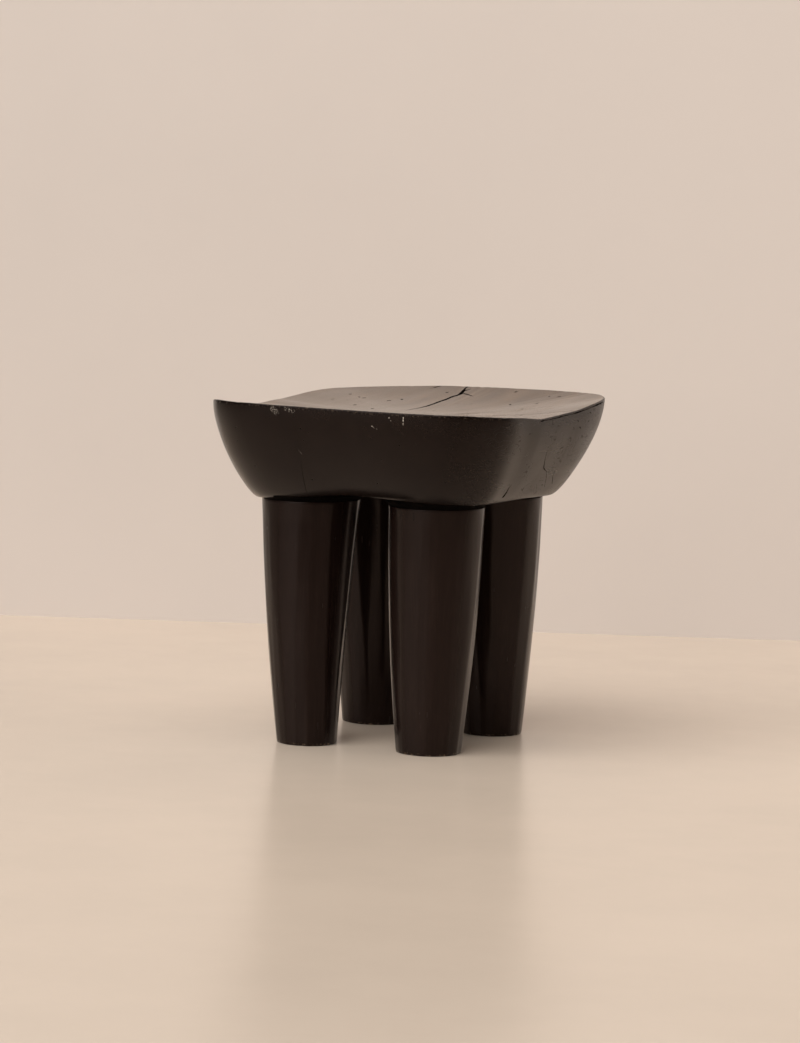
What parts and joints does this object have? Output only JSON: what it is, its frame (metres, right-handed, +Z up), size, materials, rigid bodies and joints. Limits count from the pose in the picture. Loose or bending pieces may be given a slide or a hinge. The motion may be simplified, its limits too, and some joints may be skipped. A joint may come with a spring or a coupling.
{
  "type": "carved wooden stool",
  "caption": "Low carved stool of blackened wood: a thick seat block with a dished top and flaring sides, standing on stout tapered round legs tenoned into its underside.",
  "frame": {"origin": "on the floor under the middle of the seat", "axes": "+X across the seat, +Y along the seat's grain and its longer side, +Z up; the front, nearest the camera, is -Y"},
  "size_m": [0.3638, 0.391, 0.3814],
  "materials": {
    "blackened_wood": "satin, waxed",
    "bare_wood": "matte, unfinished"
  },
  "bodies": {
    "root": {"seat": "blackened_wood", "leg_front_left": "blackened_wood", "leg_front_right": "blackened_wood", "leg_rear_left": "blackened_wood", "leg_rear_right": "blackened_wood", "wedge_front_left": "bare_wood", "wedge_front_right": "bare_wood", "wedge_rear_left": "bare_wood", "wedge_rear_right": "bare_wood"}
  },
  "joints": []
}
